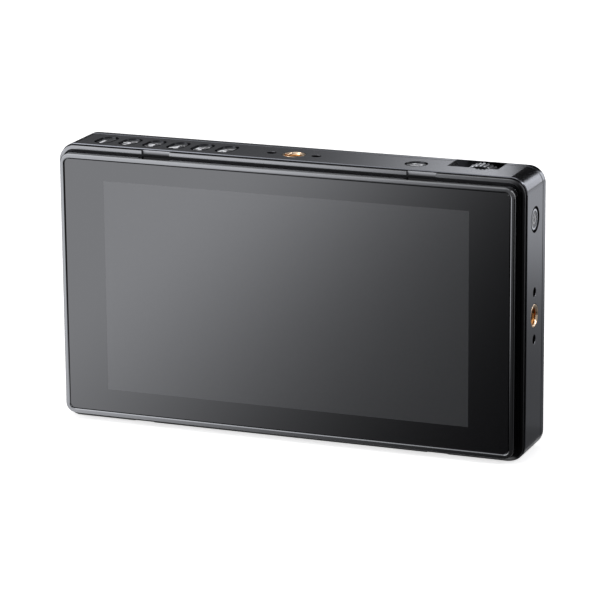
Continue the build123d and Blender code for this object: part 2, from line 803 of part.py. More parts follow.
board_width = board_left + board_right
board_height = board_top + board_bottom
board_centre_x = (board_right - board_left) / 2
board_centre_z = (board_top - board_bottom) / 2
boss_reach = insert_length + boss_floor + board_clearance
corner_reach = case_screw_inset + case_post_radius + board_clearance
wheel_reach = wheel_radius + wheel_gap + board_clearance

with BuildPart() as main_board:
    front_block(board_centre_x, board_centre_z, board_width, board_height, board_back, board_front)
    # cut-outs for the lower boss, the corner post, the thumb wheel and the power socket
    front_block(0, -half_height, boss_length + 2 * board_clearance, 2 * boss_reach, board_back, board_front,
                Mode.SUBTRACT)
    front_block(-half_width, -half_height, 2 * corner_reach, 2 * corner_reach, board_back, board_front,
                Mode.SUBTRACT)
    front_block(half_width, half_height, 2 * (half_width - wheel_x + wheel_reach),
                2 * (half_height - bracket_floor + board_clearance), board_back, board_front, Mode.SUBTRACT)
    front_block(-half_width, power_jack_z, 2 * (socket_sink + power_jack_depth + socket_gap),
                2 * (power_jack_radius + socket_gap), board_back, board_front, Mode.SUBTRACT)
    front_discs(standoff_places, screw_radius + screw_clearance, board_back, board_front, Mode.SUBTRACT)
finish(main_board, "main_board")

processor_back = board_back + processor_height
pad_back = processor_back + pad_thickness
sink_back = pad_back + sink_base
fin_back = mid_rear - sink_clearance
memory_x = processor_x - processor_size / 2 - memory_width

with BuildPart() as board_chips:
    front_block(processor_x, sink_z, processor_size, processor_size, processor_back, board_back)
    for row in (-0.5, 0.5):
        front_block(memory_x, sink_z + row * (memory_height + memory_gap), memory_width, memory_height,
                    board_back + memory_thickness, board_back)
    for column in range(inductor_count):
        front_block(inductor_x + column * (inductor_size + inductor_gap), inductor_z, inductor_size,
                    inductor_size, board_back + inductor_height, board_back)
finish(board_chips, "board_chips")

with BuildPart() as thermal_pad:
    front_block(processor_x, sink_z, processor_size, processor_size, pad_back, processor_back)
finish(thermal_pad, "thermal_pad")

with BuildPart() as heat_sink:
    front_block(sink_x, sink_z, sink_width, sink_height, sink_back, pad_back)
    with BuildSketch(front_view(fin_back)):
        with Locations((sink_x, sink_z)):
            with GridLocations((sink_width - sink_fin_width) / (sink_fin_count - 1), 0, sink_fin_count, 1):
                Rectangle(sink_fin_width, sink_height)
    extrude(amount=fin_back - sink_back)
finish(heat_sink, "heat_sink")

# ---------------------------------------------------------------- sockets on the left side

socket_mouth = -half_width + socket_sink


def hdmi_mouth(grow):
    """HDMI outline standing on its end: a rectangle with its two forward corners bevelled."""
    with BuildSketch() as mouth:
        Rectangle(hdmi_height + 2 * grow, hdmi_width + 2 * grow)
        chamfer(mouth.vertices().group_by(Axis.X)[-1], hdmi_bevel)
    return mouth.sketch


def hdmi_socket(z, name):
    """Sheet shell, and the moulded core with its contact tongue."""
    mouth = left_view(socket_mouth, z)
    back = mouth.offset(-hdmi_depth)
    with BuildPart() as shell:
        with BuildSketch(mouth):
            add(hdmi_mouth(shell_thickness))
            add(hdmi_mouth(0), mode=Mode.SUBTRACT)
        extrude(amount=-hdmi_depth)
    finish(shell, f"{name}_shell")
    with BuildPart() as core:
        with BuildSketch(back):
            add(hdmi_mouth(-core_gap))
        extrude(amount=hdmi_core_depth)
        with BuildSketch(back):
            Rectangle(hdmi_tongue, hdmi_tongue_width)
        extrude(amount=hdmi_depth - tongue_sink)
    finish(core, f"{name}_core")


hdmi_socket(hdmi_heights[0], "hdmi_input")
hdmi_socket(hdmi_heights[1], "hdmi_output")

usb_mouth = left_view(socket_mouth, usb_z)

with BuildPart() as usb_shell:
    with BuildSketch(usb_mouth):
        SlotOverall(usb_width + 2 * shell_thickness, usb_height + 2 * shell_thickness, rotation=90)
        SlotOverall(usb_width, usb_height, rotation=90, mode=Mode.SUBTRACT)
    extrude(amount=-usb_depth)
finish(usb_shell, "usb_shell")

with BuildPart() as usb_core:
    with BuildSketch(usb_mouth.offset(-usb_depth)):
        SlotOverall(usb_width - 2 * core_gap, usb_height - 2 * core_gap, rotation=90)
    extrude(amount=usb_core_depth)
    with BuildSketch(usb_mouth.offset(-usb_depth)):
        Rectangle(usb_tongue, usb_tongue_width)
    extrude(amount=usb_depth - tongue_sink)
finish(usb_core, "usb_core")

with BuildPart() as headphone_jack:
    with BuildSketch(left_view(socket_mouth, jack_z)):
        Circle(jack_radius)
    extrude(amount=-jack_depth)
    with BuildSketch(left_view(-half_width + wall + socket_gap, jack_z)):
        Rectangle(2 * board_front, 2 * jack_radius)
    extrude(amount=socket_gap + wall - socket_sink - jack_depth)
    with BuildSketch(left_view(socket_mouth, jack_z)):
        Circle(jack_bore_radius)
    extrude(amount=jack_floor - jack_depth, mode=Mode.SUBTRACT)
finish(headphone_jack, "headphone_jack")

with BuildPart() as power_jack:
    power_jack_back = left_view(socket_mouth + power_jack_depth, power_jack_z)
    with BuildSketch(power_jack_back):
        Circle(power_jack_radius)
        Circle(power_jack_bore_radius, mode=Mode.SUBTRACT)
    extrude(amount=power_jack_depth)
    with BuildSketch(power_jack_back):
        Circle(power_jack_radius)
    extrude(amount=power_jack_floor)
    with BuildSketch(power_jack_back):
        Circle(power_jack_pin_radius)
    extrude(amount=power_jack_depth - tongue_sink)
finish(power_jack, "power_jack")

# ---------------------------------------------------------------- rear cover

plate_front = cover_rear - plate_sink
plate_rear = plate_front + plate_base
neck_rear = plate_rear + rail_neck_height
rail_rear = neck_rear + rail_flange_height
stop_z = rail_centre_z - rail_length / 2 - stop_height / 2
plate_height = rail_length + 2 * plate_end
plate_screw_x = plate_width / 2 - plate_screw_inset_x
plate_screw_z = plate_height / 2 - plate_screw_inset_z
latch_z = rail_centre_z + rail_length / 2 + latch_rail_gap + latch_height / 2
plate_screw_places = [(sx * plate_screw_x, sz * plate_screw_z) for sx in (-1, 1) for sz in (-1, 1)]
wire_slot_width = (contact_count - 1) * contact_pitch + 4 * lead_radius
latch_hole_width = latch_width + 2 * latch_gap
latch_hole_height = latch_height + 2 * latch_gap
latch_well_width = latch_hole_width + 2 * latch_flange
latch_shoulder = plate_rear - latch_roof
latch_foot = latch_shoulder - key_flange_gap - latch_flange_thickness
latch_floor = latch_foot - latch_travel - latch_end_gap

with BuildPart() as rear_cover:
    rounded_slab(housing_width, housing_height, corner_radius, cover_rear, mid_rear)
    fillet(rear_cover.faces().sort_by(Axis.Y)[-1].edges(), cover_edge_round)
    chamfer(rear_cover.faces().sort_by(Axis.Y)[0].edges(), edge_break)
    # locating bars inside the middle housing's walls
    for sz in (-1, 1):
        front_block(-cover_bar_shift, sz * (cavity_height / 2 - lip_clearance - lip_thickness / 2),
                    cover_bar_length, lip_thickness, mid_rear, mid_rear - cover_bar_depth)
    for sx in (-1, 1):
        front_block(sx * (cavity_width / 2 - lip_clearance - lip_thickness / 2), 0,
                    lip_thickness, cover_side_bar_length, mid_rear, mid_rear - cover_bar_depth)
    # seat of the battery plate, its screw holes, the well under the latch and the slot for the battery leads
    rounded_slab(plate_width + 2 * plate_gap, plate_height + 2 * plate_gap, plate_radius + plate_gap,
                 cover_rear, plate_front, Mode.SUBTRACT)
    front_discs(plate_screw_places, screw_radius + screw_fit, cover_rear, mid_rear, Mode.SUBTRACT)
    front_block(0, latch_z, latch_well_width, latch_hole_height, plate_front, latch_floor, Mode.SUBTRACT)
    front_block(0, stop_z, wire_slot_width, wire_slot_height, cover_rear, mid_rear, Mode.SUBTRACT)
    # cooling slots either side of the plate
    for sx in (-1, 1):
        for sz in (-1, 1):
            with BuildSketch(front_view(cover_rear)):
                with Locations((sx * (half_width - vent_inset), sz * (vent_length + vent_row_gap) / 2)):
                    with GridLocations(vent_pitch, 0, vent_count, 1):
                        SlotOverall(vent_length, vent_width, rotation=90)
            extrude(amount=cover_thickness, mode=Mode.SUBTRACT)
    # the thumb scoop runs on into the cover and ends at a lip
    thumb_scoop(cover_rear - pocket_lip, mid_rear)
    # counterbored holes of the case screws
    front_discs(corner_places, screw_radius + screw_clearance, cover_rear, mid_rear, Mode.SUBTRACT)
    front_discs(corner_places, screw_head_radius + screw_clearance, cover_rear,
                cover_rear - screw_head_height - head_sink, Mode.SUBTRACT)
finish(rear_cover, "rear_cover")

# ---------------------------------------------------------------- battery plate and contacts

gate_side = (rail_length - rail_gate_length) / 2
contact_back = rail_rear + contact_gap + contact_depth
contact_top = stop_z + stop_height / 2 + contact_length
contact_bottom = stop_z - contact_root / 2
contact_columns = [(column - (contact_count - 1) / 2) * contact_pitch for column in range(contact_count)]


def contact_shapes(grow, mode):
    """The three contact blades with their roots through the plate, or the holes that hold them."""
    for x in contact_columns:
        front_block(x, stop_z, contact_width + 2 * grow, contact_root + 2 * grow, contact_back, plate_front,
                    mode)
        front_block(x, (contact_top + contact_bottom) / 2, contact_width + 2 * grow,
                    contact_top - contact_bottom + 2 * grow, contact_back + grow,
                    contact_back - contact_depth - grow, mode)


with BuildPart() as battery_plate:
    rounded_slab(plate_width, plate_height, plate_radius, plate_rear, plate_front)
    chamfer(battery_plate.faces().sort_by(Axis.Y)[-1].edges(), edge_break)
    # raised block with a flange along each side that the battery's grooves slide over, open in the middle
    front_block(0, rail_centre_z, rail_width - 2 * rail_overhang, rail_length, rail_rear, plate_rear)
    for sz in (-1, 1):
        front_block(0, rail_centre_z + sz * (rail_gate_length + gate_side) / 2, rail_width, gate_side,
                    rail_rear, neck_rear)
    # stop at the lower end that carries the contacts
    stop_width = 2 * (plate_screw_x - screw_head_radius - screw_clearance - stop_gap)
    front_block(0, stop_z, stop_width, stop_height, contact_back + stop_cover, plate_rear)
    contact_shapes(insert_fit, Mode.SUBTRACT)
    # hole of the latch with the wider well for its flange
    front_block(0, latch_z, latch_hole_width, latch_hole_height, plate_rear, plate_front, Mode.SUBTRACT)
    front_block(0, latch_z, latch_well_width, latch_hole_height, latch_shoulder, plate_front, Mode.SUBTRACT)
    front_discs(plate_screw_places, screw_radius + screw_clearance, plate_rear, plate_front, Mode.SUBTRACT)
    front_discs(plate_screw_places, screw_head_radius + screw_clearance, plate_rear,
                plate_rear - screw_head_height - head_sink, Mode.SUBTRACT)
finish(battery_plate, "battery_plate")

with BuildPart() as battery_contacts:
    contact_shapes(0, Mode.ADD)
finish(battery_contacts, "battery_contacts")

with BuildPart() as battery_leads:
    # insulated wires from the roots of the contacts through the cover to the main board
    for x in contact_columns:
        lead_start = (x, plate_front, middle + stop_z)
        lead_end = (x, board_back, middle + stop_z + lead_drop)
        with BuildLine() as lead:
            Spline(lead_start, lead_end, tangents=((0, -1, 0), (0, -1, 0)))
        with BuildSketch(Plane(origin=lead_start, z_dir=(0, -1, 0))):
            RegularPolygon(lead_radius, lead_sides)
        sweep(path=lead.wires()[0])
finish(battery_leads, "battery_leads")

# ---------------------------------------------------------------- battery latch and its spring

spring_top = plate_rear + latch_rise - latch_bore_roof

with BuildPart() as battery_latch:
    front_block(0, latch_z, latch_width, latch_height, plate_rear + latch_rise, latch_foot)
    fillet(battery_latch.faces().sort_by(Axis.Y)[-1].edges(), latch_round)
    front_block(0, latch_z, latch_width + 2 * latch_flange, latch_height, latch_foot + latch_flange_thickness,
                latch_foot)
    front_discs([(0, latch_z)], latch_bore_radius, spring_top, latch_foot, Mode.SUBTRACT)
finish(battery_latch, "battery_latch")

spring_start = latch_floor + spring_wire_radius + insert_fit
spring_length = spring_top - spring_wire_radius - insert_fit - spring_start
spring_axis = (0, spring_start, middle + latch_z)

with BuildPart() as latch_spring:
    with BuildLine() as coil:
        Helix(spring_length / spring_turns, spring_length, spring_radius, center=spring_axis,
              direction=(0, 1, 0))
    with BuildSketch(Plane(origin=coil.wires()[0] @ 0, z_dir=coil.wires()[0] % 0)):
        RegularPolygon(spring_wire_radius, lead_sides)
    sweep(path=coil.wires()[0], is_frenet=True)
finish(latch_spring, "latch_spring")

# ---------------------------------------------------------------- flexible cables and power leads

with BuildPart() as display_flex:
    # from the back of the backlight through the tray's slot to the front of the main board
    with BuildSketch(right_view(flex_x - flex_width / 2)):
        with BuildLine():
            flex_run = Polyline((backlight_back, flex_slot_z), (tray_back + tray_sheet, flex_slot_z),
                                (board_front - flex_thickness / 2, flex_slot_z + flex_rise / 2),
                                (board_front - flex_thickness / 2, flex_slot_z + flex_rise))
        trace(flex_run, flex_thickness)
    extrude(amount=flex_width)
finish(display_flex, "display_flex")

with BuildPart() as key_flex:
    # from the underside of the key board down to the front of the main board
    key_flex_top = key_board_top - key_board_thickness - middle
    with BuildSketch(right_view(key_flex_x - key_flex_width / 2)):
        with BuildLine():
            key_run = Polyline((key_flex_y, key_flex_top), (key_flex_y, key_flex_top - lead_radius),
                               (board_front - flex_thickness / 2, board_top - flex_thickness),
                               (board_front - flex_thickness / 2, board_top - key_flex_reach))
        trace(key_run, flex_thickness)
    extrude(amount=key_flex_width)
finish(key_flex, "key_flex")

with BuildPart() as power_leads:
    # two wires from the power key's board to the front of the main board
    for shift in (-2 * lead_radius, 2 * lead_radius):
        lead_start = (power_board_x, shift, middle + power_key_z - power_board_height / 4)
        lead_end = (board_right - 4 * lead_radius, board_front,
                    middle + power_key_z - power_board_height + shift)
        with BuildLine() as lead:
            Spline(lead_start, lead_end, tangents=((-1, 0, 0), (0, 1, 0)))
        with BuildSketch(Plane(origin=lead_start, z_dir=(-1, 0, 0))):
            RegularPolygon(lead_radius, lead_sides)
        sweep(path=lead.wires()[0])
finish(power_leads, "power_leads")

# ---------------------------------------------------------------- screws


def screw_group(places, head_seat, length, name):
    """Hex-socket screws along Y: heads behind head_seat, shanks running forward."""
    with BuildPart() as screws:
        front_discs(places, screw_head_radius, head_seat + screw_head_height, head_seat)
        front_discs(places, screw_radius, head_seat, head_seat - length)
        with BuildSketch(front_view(head_seat + screw_head_height)):
            with Locations(*places):
                RegularPolygon(drive_radius, 6)
        extrude(amount=drive_depth, mode=Mode.SUBTRACT)
    finish(screws, name)


case_seat = cover_rear - screw_head_height - head_sink
plate_seat = plate_rear - screw_head_height - head_sink
screw_group(corner_places, case_seat, case_seat - frame_back, "case_screws")
screw_group(plate_screw_places, plate_seat, plate_seat - mid_rear, "plate_screws")
screw_group(ear_places, frame_back + tray_sheet, tray_sheet + tray_screw_bite, "tray_screws")
screw_group(standoff_places, board_back, board_thickness + board_screw_bite, "board_screws")

with BuildPart() as key_board_screws:
    head_top = key_board_top - key_board_thickness
    with BuildSketch(Plane.XY.offset(head_top)):
        with Locations(*[(x, 0) for x in key_post_places]):
            Circle(screw_head_radius)
    extrude(amount=-screw_head_height)
    with BuildSketch(Plane.XY.offset(head_top)):
        with Locations(*[(x, 0) for x in key_post_places]):
            Circle(screw_radius)
    extrude(amount=key_board_thickness + key_screw_bite)
    with BuildSketch(Plane.XY.offset(head_top - screw_head_height)):
        with Locations(*[(x, 0) for x in key_post_places]):
            RegularPolygon(drive_radius, 6)
    extrude(amount=drive_depth, mode=Mode.SUBTRACT)
finish(key_board_screws, "key_board_screws")
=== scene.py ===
import math

import bmesh
import bpy
from mathutils import Matrix, Vector


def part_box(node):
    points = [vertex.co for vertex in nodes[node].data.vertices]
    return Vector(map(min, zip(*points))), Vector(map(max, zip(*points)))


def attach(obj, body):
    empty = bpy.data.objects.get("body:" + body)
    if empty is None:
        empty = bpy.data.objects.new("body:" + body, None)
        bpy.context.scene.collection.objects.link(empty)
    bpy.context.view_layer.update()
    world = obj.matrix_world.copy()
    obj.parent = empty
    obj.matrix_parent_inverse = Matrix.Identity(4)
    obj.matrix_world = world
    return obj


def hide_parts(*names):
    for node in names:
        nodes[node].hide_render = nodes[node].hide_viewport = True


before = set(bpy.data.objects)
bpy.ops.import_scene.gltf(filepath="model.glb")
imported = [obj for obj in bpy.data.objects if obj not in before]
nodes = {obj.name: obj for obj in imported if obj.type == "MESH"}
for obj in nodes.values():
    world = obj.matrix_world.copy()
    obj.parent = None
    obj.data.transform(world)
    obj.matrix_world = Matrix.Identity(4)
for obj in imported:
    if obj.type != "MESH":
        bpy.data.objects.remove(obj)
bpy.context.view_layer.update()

# ---------------------------------------------------------------- sizes of the construction

MM = 0.001
case_low, case_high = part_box("mid_housing")
case_middle = (case_low.z + case_high.z) / 2
case_top = case_high.z
case_right = case_high.x
case_corner = 5.4 * MM  # radius of the housing's outline
case_joint = 7.8 * MM  # from the middle plane to the joints of front frame and rear cover
lit_width = 121.76 * MM
lit_height = 68.49 * MM
lit_across = 0.24 * MM  # the lit area's middle, right of the middle of the object
lit_middle = case_middle + 0.47 * MM
rim_front = -9.35 * MM  # front of the frame's rim
joint_line = rim_front + 0.12 * MM  # where the rim turns into the joint to the housing; behind it the frame is painted black as shade
bead_back = -12.8 * MM  # back of the bead, at the front end of the hood groove
rim_width = 1.65 * MM  # from the housing's outline to the wall of the groove
notch_middle = 44.3 * MM
notch_half = 4.74 * MM
notch_floor = case_top - 1.72 * MM


# ---------------------------------------------------------------- node materials

def shader(name):
    """A new node material: (material, node tree, principled shader, object coordinates)."""
    made = bpy.data.materials.new(name)
    made.use_nodes = True
    tree = made.node_tree
    surface = tree.nodes["Principled BSDF"]
    place = tree.nodes.new("ShaderNodeTexCoord")
    return made, tree, surface, place.outputs["Object"]


def noise(tree, coords, scale, detail=3.0):
    """Noise of that many features a metre, from 0 to 1."""
    made = tree.nodes.new("ShaderNodeTexNoise")
    made.inputs["Scale"].default_value = scale
    made.inputs["Detail"].default_value = detail
    tree.links.new(coords, made.inputs["Vector"])
    return made.outputs["Fac"]


def remap(tree, value, low, high, start=0.3, end=0.7):
    """value from start..end mapped onto low..high."""
    made = tree.nodes.new("ShaderNodeMapRange")
    made.inputs["From Min"].default_value = start
    made.inputs["From Max"].default_value = end
    made.inputs["To Min"].default_value = low
    made.inputs["To Max"].default_value = high
    tree.links.new(value, made.inputs["Value"])
    return made.outputs["Result"]


def mix(tree, factor, first, second):
    """Colour mixed from first to second by factor."""
    made = tree.nodes.new("ShaderNodeMix")
    made.data_type = "RGBA"
    tree.links.new(factor, made.inputs["Factor"])
    for socket, value in ((made.inputs[6], first), (made.inputs[7], second)):
        if isinstance(value, tuple):
            socket.default_value = (*value, 1.0)
        else:
            tree.links.new(value, socket)
    return made.outputs[2]


def bump(tree, surface, height, relief):
    """Relief on the surface that follows the height socket and is that many metres high."""
    made = tree.nodes.new("ShaderNodeBump")
    made.inputs["Distance"].default_value = relief
    made.inputs["Strength"].default_value = 1.0
    tree.links.new(height, made.inputs["Height"])
    tree.links.new(made.outputs["Normal"], surface.inputs["Normal"])


def calc(tree, operation, first, second=0.0):
    """Result of a math node on two sockets or plain numbers."""
    made = tree.nodes.new("ShaderNodeMath")
    made.operation = operation
    for socket, value in zip(made.inputs, (first, second)):
        if isinstance(value, (int, float)):
            socket.default_value = value
        else:
            tree.links.new(value, socket)
    return made.outputs[0]


def vector_calc(tree, operation, first, second=(0.0, 0.0, 0.0)):
    """Node that works on the vector socket first and, where it takes two, the constant vector second."""
    made = tree.nodes.new("ShaderNodeVectorMath")
    made.operation = operation
    tree.links.new(first, made.inputs[0])
    made.inputs[1].default_value = second
    return made


def both(tree, first, second):
    """Product of two masks."""
    return calc(tree, "MULTIPLY", first, second)


def either(tree, first, second):
    """The larger of two masks."""
    return calc(tree, "MAXIMUM", first, second)


def past(tree, value, line, softness):
    """Mask that rises from 0 at the line to 1 over the softness."""
    return remap(tree, value, 0.0, 1.0, line, line + softness)


def distance(tree, value, centre):
    """How far value is from centre."""
    return calc(tree, "ABSOLUTE", calc(tree, "SUBTRACT", value, centre))


def inside(tree, value, centre, half):
    """1 where value is within half of centre, else 0."""
    return calc(tree, "LESS_THAN", distance(tree, value, centre), half)


def rounded(tree, x, z, middle, half_x, half_z, radius):
    """1 inside a rounded rectangle about x 0 and z middle, else 0."""
    blur = 0.001
    squares = []
    for value, centre, half in ((x, 0.0, half_x), (z, middle, half_z)):
        over = calc(tree, "SUBTRACT", distance(tree, value, centre), half - radius)
        share = calc(tree, "DIVIDE", calc(tree, "MAXIMUM", over, 0.0), radius)
        squares.append(calc(tree, "POWER", share, 2.0))
    return remap(tree, calc(tree, "ADD", *squares), 1.0, 0.0, 1 - blur, 1 + blur)


def axes(tree, place):
    """The X, Y and Z of object coordinates."""
    made = tree.nodes.new("ShaderNodeSeparateXYZ")
    tree.links.new(place, made.inputs["Vector"])
    return made.outputs["X"], made.outputs["Y"], made.outputs["Z"]


def grained(name, colour, rough, metal=0.0, spread=0.12, rough_spread=0.05, grain=3500.0, relief=0.004 * MM,
            patch=60.0):
    """Material with a fine grain in its relief and roughness, and slow changes of tone."""
    made, tree, surface, place = shader(name)
    fine = noise(tree, place, grain)
    slow = noise(tree, place, patch, 2.0)
    dark = tuple(c * (1 - spread) for c in colour)
    pale = tuple(c * (1 + spread) for c in colour)
    tree.links.new(mix(tree, slow, dark, pale), surface.inputs["Base Color"])
    tree.links.new(remap(tree, fine, rough - rough_spread, rough + rough_spread), surface.inputs["Roughness"])
    surface.inputs["Metallic"].default_value = metal
    bump(tree, surface, fine, relief)
    return made


def casing_paint():
    """Dark anodised metal, with painted shade: nearly black on its faces in the joints to the front frame and
    to the rear cover.
    """
    made, tree, surface, place = shader("casing_metal")
    depth = axes(tree, place)[1]
    # painted shade: the housing's faces inside its joints to the front frame and rear cover, black for the
    # shadow in the gaps
    rear_joint_shade = inside(tree, depth, case_joint, 0.2 * MM)
    front_joint_shade = remap(tree, depth, 1.0, 0.0, -case_joint + 0.01 * MM, -case_joint + 0.04 * MM)
    tone = mix(tree, noise(tree, place, 60.0, 2.0), (0.154, 0.158, 0.168), (0.172, 0.176, 0.188))
    tone = mix(tree, either(tree, rear_joint_shade, front_joint_shade), tone, (0.008, 0.008, 0.009))
    tree.links.new(tone, surface.inputs["Base Color"])
    fine = noise(tree, place, 5000.0)
    tree.links.new(remap(tree, fine, 0.14, 0.2), surface.inputs["Roughness"])
    surface.inputs["Metallic"].default_value = 1.0
    bump(tree, surface, fine, 0.004 * MM)
    return made


def frame_paint():
    """Polished rim and bead, with painted shade in the joint to the housing, at the right of the rim and in
    the hood groove, and painted light and shade on the groove wall and in the clip notches.
    """
    made, tree, surface, place = shader("frame_metal")
    across, depth, height = axes(tree, place)
    # painted shade: the frame behind the rim's front, nearly black for the shadow in the joint to the housing
    # and on the groove floor
    joint_shade = past(tree, depth, joint_line, 0.05 * MM)
    within_rim = rounded(tree, across, height, case_middle, case_right - rim_width,
                         case_top - case_middle - rim_width, case_corner - rim_width)
    groove_wall = both(tree, within_rim, past(tree, depth, bead_back, 0.1 * MM))
    by_notch = either(tree, inside(tree, across, notch_middle, notch_half),
                      inside(tree, across, -notch_middle, notch_half))
    notch = both(tree, by_notch, remap(tree, height, 0.0, 1.0, notch_floor, case_top - rim_width))
    # painted shade: the rim's face near the right side, darkened so it stays dark in its reflections
    right_rim_shade = both(tree, past(tree, across, case_right - 5 * MM, 3 * MM),
                     past(tree, depth, rim_front - 0.3 * MM, 0.2 * MM))

    # painted light and shade on the groove wall: dark at its front edge, pale further back; in the clip
    # notches painted dark all over as shade
    wall_light_and_shade = mix(tree, remap(tree, depth, 0.0, 1.0, bead_back, -10.0 * MM),
                    (0.08, 0.08, 0.081), (0.5, 0.502, 0.508))
    wall_light_and_shade = mix(tree, by_notch, wall_light_and_shade, (0.03, 0.03, 0.031))
    # painted light and shade on the clip notches' scooped floor: black low down, paler towards the top, as a
    # concave face lit from above
    notch_light_and_shade = mix(tree, remap(tree, height, 0.0, 1.0, case_top - rim_width, case_top - 0.5 * MM),
                     (0.0, 0.0, 0.0), (0.26, 0.262, 0.268))
    tone = mix(tree, noise(tree, place, 60.0, 2.0), (0.172, 0.173, 0.175), (0.188, 0.189, 0.191))
    tone = mix(tree, right_rim_shade, tone, (0.03, 0.03, 0.031))
    tone = mix(tree, groove_wall, tone, wall_light_and_shade)
    tone = mix(tree, joint_shade, tone, (0.02, 0.02, 0.021))
    tone = mix(tree, notch, tone, notch_light_and_shade)
    tree.links.new(tone, surface.inputs["Base Color"])

    fine = noise(tree, place, 5000.0)
    duller = remap(tree, either(tree, joint_shade, notch), 0.0, 0.3, 0.0, 1.0)
    tree.links.new(calc(tree, "ADD", remap(tree, fine, 0.1, 0.15), duller), surface.inputs["Roughness"])
    surface.inputs["Metallic"].default_value = 1.0
    bump(tree, surface, fine, 0.001 * MM)
    return made


def wheel_paint():
    """Black wheel, with a painted highlight on each ridge top."""
    wheel_low, wheel_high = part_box("thumb_wheel")
    radius = (wheel_high.x - wheel_low.x) / 2
    made, tree, surface, place = shader("wheel_ridges")
    from_centre = vector_calc(tree, "SUBTRACT", place, (wheel_low + wheel_high) / 2)
    from_axis = vector_calc(tree, "MULTIPLY", from_centre.outputs[0], (1.0, 0.0, 1.0))
    far = vector_calc(tree, "LENGTH", from_axis.outputs[0])
    ridge_highlight = past(tree, far.outputs["Value"], radius - 0.3 * MM, 0.2 * MM)
    tone = mix(tree, ridge_highlight, (0.02, 0.02, 0.021), (0.5, 0.505, 0.52))
    tree.links.new(tone, surface.inputs["Base Color"])
    fine = noise(tree, place, 3500.0)
    tree.links.new(remap(tree, fine, 0.26, 0.34), surface.inputs["Roughness"])
    surface.inputs["Metallic"].default_value = 1.0
    bump(tree, surface, fine, 0.003 * MM)
    return made


def glass_paint():
    """A black printed border round the slightly paler lit area, under one polished face."""
    made, tree, surface, place = shader("screen_glass")
    across, _, height = axes(tree, place)
    lit = both(tree, inside(tree, across, lit_across, lit_width / 2),
               inside(tree, height, lit_middle, lit_height / 2))
    panel = mix(tree, noise(tree, place, 900.0), (0.039, 0.040, 0.042), (0.043, 0.044, 0.046))
    tree.links.new(mix(tree, lit, (0.0015, 0.0015, 0.002), panel), surface.inputs["Base Color"])
    tree.links.new(remap(tree, noise(tree, place, 40.0), 0.05, 0.08), surface.inputs["Roughness"])
    surface.inputs["IOR"].default_value = 1.8
    bump(tree, surface, noise(tree, place, 25.0), 0.001 * MM)
    return made


def paint(material, *names):
    """Give carried-over nodes one material."""
    for name in names:
        data = nodes[name].data
        data.materials.clear()
        data.materials.append(material)
        for face in data.polygons:
            face.material_index = 0


key_black = grained("key_black", (0.045, 0.046, 0.05), 0.27, grain=5000.0)
key_black.node_tree.nodes["Principled BSDF"].inputs["IOR"].default_value = 1.8
# two copies of the brass: a dark one, painted shade deep in the threaded bores, and a pale one, a painted
# highlight on their countersunk mouths
brass = grained("brass", (0.5, 0.22, 0.065), 0.22, metal=1.0, patch=900.0)
brass_mouth_highlight = grained("brass_mouth_highlight", (0.88, 0.68, 0.48), 0.2, metal=1.0, patch=900.0)
sheet_steel = grained("sheet_steel", (0.55, 0.56, 0.57), 0.35, metal=1.0)
screw_steel = grained("screw_steel", (0.06, 0.06, 0.062), 0.32, metal=0.9)
gold = grained("gold", (0.85, 0.62, 0.25), 0.25, metal=1.0)
black_plastic = grained("black_plastic", (0.018, 0.018, 0.019), 0.5, relief=0.008 * MM)
board_green = grained("board_green", (0.01, 0.09, 0.045), 0.4)
grey_rubber = grained("grey_rubber", (0.2, 0.24, 0.27), 0.75)
black_tape = grained("black_tape", (0.012, 0.012, 0.012), 0.7)
white_film = grained("white_film", (0.8, 0.8, 0.81), 0.5)
cell_glass = grained("cell_glass", (0.03, 0.032, 0.04), 0.15)
plain_aluminium = grained("plain_aluminium", (0.6, 0.6, 0.61), 0.38, metal=1.0)
amber_film = grained("amber_film", (0.4, 0.16, 0.03), 0.35)
red_rubber = grained("red_rubber", (0.4, 0.02, 0.015), 0.55)
mark_white = grained("mark_white", (0.88, 0.89, 0.92), 0.5, spread=0.05)
mark_grey = grained("mark_grey", (0.5, 0.505, 0.52), 0.5, spread=0.05)
# painted shade: matt black without reflection, for the strokes that stand for the shadow in the gaps round
# the keys
gap_shade_black = grained("gap_shade_black", (0.006, 0.006, 0.007), 0.7)
gap_shade_black.node_tree.nodes["Principled BSDF"].inputs["Specular IOR Level"].default_value = 0.0
bevel_metal = grained("bevel_metal", (0.62, 0.63, 0.66), 0.22, metal=1.0)
casing_metal = casing_paint()

paint(casing_metal, "mid_housing", "rear_cover")
paint(frame_paint(), "front_frame")
paint(glass_paint(), "cover_glass")
paint(wheel_paint(), "thumb_wheel")
paint(key_black, *[f"function_key_{i}" for i in range(1, 7)], "return_key", "power_key")
paint(brass, "top_thread_insert", "side_thread_insert", "bottom_thread_insert")
paint(sheet_steel, "panel_tray", "wheel_bracket", "wheel_shaft", "latch_spring", "hdmi_input_shell",
      "hdmi_output_shell", "usb_shell")
paint(screw_steel, "case_screws", "plate_screws", "tray_screws", "board_screws", "key_board_screws")
paint(gold, "battery_contacts")
paint(black_plastic, "battery_plate", "battery_latch", "key_switches", "power_switch", "wheel_encoder",
      "board_chips", "hdmi_input_core", "hdmi_output_core", "usb_core", "headphone_jack", "power_jack")
paint(board_green, "key_board", "power_board", "main_board")
paint(grey_rubber, "thermal_pad")
paint(black_tape, "glass_adhesive")
paint(white_film, "backlight_unit")
paint(cell_glass, "touch_panel", "lcd_cell")
paint(plain_aluminium, "heat_sink")
paint(amber_film, "display_flex", "key_flex")
paint(red_rubber, "battery_leads", "power_leads")


# ---------------------------------------------------------------- meshes that stand for or dress CAD nodes

